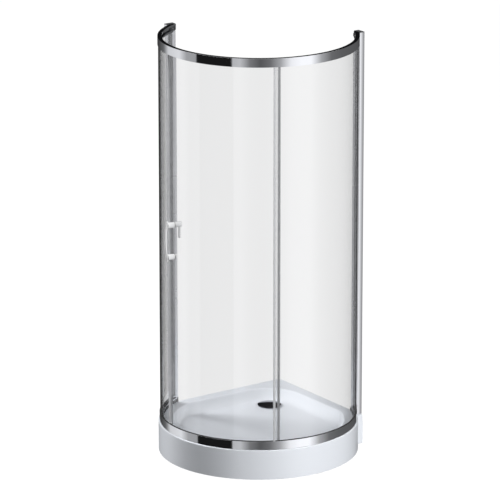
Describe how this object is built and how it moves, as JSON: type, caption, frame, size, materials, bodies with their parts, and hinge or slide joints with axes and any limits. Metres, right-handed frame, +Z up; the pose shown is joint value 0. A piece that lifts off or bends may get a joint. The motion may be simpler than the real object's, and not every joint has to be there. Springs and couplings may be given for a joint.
{
  "type": "shower enclosure",
  "caption": "Corner shower enclosure with a round front: white tray on feet, polished rails, clear curved panes and a curved glass door that slides on rollers.",
  "frame": {"origin": "axis of the curved front at floor level, under the centre foot", "axes": "+Z up, +X towards the right wall, +Y towards the left wall, with the curved front towards -X and -Y"},
  "size_m": [0.9179, 0.9, 1.985],
  "materials": {
    "white_acrylic": "glossy white acrylic",
    "coated_board": "resin coated chipboard",
    "black_plastic": "moulded",
    "zinc_steel": "zinc plated",
    "black_rubber": "matt",
    "white_plastic": "moulded",
    "white_nylon": "turned nylon",
    "polished_chrome": "mirror polished",
    "bright_aluminium": "mirror polished, chrome look",
    "grey_plastic": "moulded",
    "clear_glass": "clear toughened",
    "clear_seal": "translucent soft vinyl"
  },
  "bodies": {
    "enclosure": {"shower_tray": "white_acrylic", "tray_baseboard": "coated_board", "foot_sockets": "black_plastic", "socket_screws": "zinc_steel", "foot_studs": "zinc_steel", "foot_lock_nuts": "zinc_steel", "waste_screws": "zinc_steel", "jamb_screws": "zinc_steel", "connector_screws": "zinc_steel", "foot_pads": "black_rubber", "waste_gasket": "black_rubber", "door_stops": "black_rubber", "waste_body": "white_plastic", "waste_ring": "polished_chrome", "left_wall_profile": "bright_aluminium", "right_wall_profile": "bright_aluminium", "left_jamb": "bright_aluminium", "right_jamb": "bright_aluminium", "top_rail": "bright_aluminium", "bottom_rail": "bright_aluminium", "rail_end_connectors": "grey_plastic", "profile_caps": "grey_plastic", "left_pane": "clear_glass", "right_pane": "clear_glass", "left_glazing_gaskets": "clear_seal", "right_glazing_gaskets": "clear_seal", "left_jamb_gasket": "clear_seal", "right_jamb_gasket": "clear_seal", "left_pane_seal": "clear_seal", "right_pane_seal": "clear_seal"},
    "door": {"door_pane": "clear_glass", "door_leading_seal": "clear_seal", "door_trailing_seal": "clear_seal", "door_drip_seal": "clear_seal", "roller_axles": "zinc_steel", "roller_washers": "zinc_steel", "roller_bushes": "white_plastic", "roller_caps": "polished_chrome", "handle_grip": "polished_chrome", "handle_hook": "polished_chrome", "handle_inner_cap": "polished_chrome", "handle_studs": "zinc_steel", "handle_bushes": "white_plastic"},
    "waste_cover": {"drain_cover": "polished_chrome", "dip_tube": "white_plastic"},
    "upper_leading_roller": {"upper_leading_wheel": "white_nylon", "upper_leading_bearing": "zinc_steel"},
    "upper_trailing_roller": {"upper_trailing_wheel": "white_nylon", "upper_trailing_bearing": "zinc_steel"},
    "lower_leading_roller": {"lower_leading_wheel": "white_nylon", "lower_leading_bearing": "zinc_steel"},
    "lower_trailing_roller": {"lower_trailing_wheel": "white_nylon", "lower_trailing_bearing": "zinc_steel"}
  },
  "joints": [
    {"name": "door_slide", "type": "hinge", "parent": "enclosure", "child": "door", "pos_m": [0, 0, 0], "axis": [0, 0, 1], "range_deg": [0, 65]},
    {"name": "cover_lift", "type": "slide", "parent": "enclosure", "child": "waste_cover", "axis": [0, 0, 1], "range_m": [0, 0.15]},
    {"name": "upper_leading_roller_spin", "type": "hinge", "parent": "door", "child": "upper_leading_roller", "pos_m": [-0.43682, -0.09789, 1.965], "axis": [-0.9758, -0.2187, 0], "continuous": true},
    {"name": "upper_trailing_roller_spin", "type": "hinge", "parent": "door", "child": "upper_trailing_roller", "pos_m": [-0.32335, -0.30957, 1.965], "axis": [-0.7223, -0.6915, 0], "continuous": true},
    {"name": "lower_leading_roller_spin", "type": "hinge", "parent": "door", "child": "lower_leading_roller", "pos_m": [-0.43682, -0.09789, 0.163], "axis": [-0.9758, -0.2187, 0], "continuous": true},
    {"name": "lower_trailing_roller_spin", "type": "hinge", "parent": "door", "child": "lower_trailing_roller", "pos_m": [-0.32335, -0.30957, 0.163], "axis": [-0.7223, -0.6915, 0], "continuous": true}
  ],
  "couplings": [
    {"joint": "upper_leading_roller_spin", "follows": "door_slide", "ratio": -46.15},
    {"joint": "upper_trailing_roller_spin", "follows": "door_slide", "ratio": -46.15},
    {"joint": "lower_leading_roller_spin", "follows": "door_slide", "ratio": 46.15},
    {"joint": "lower_trailing_roller_spin", "follows": "door_slide", "ratio": 46.15}
  ]
}
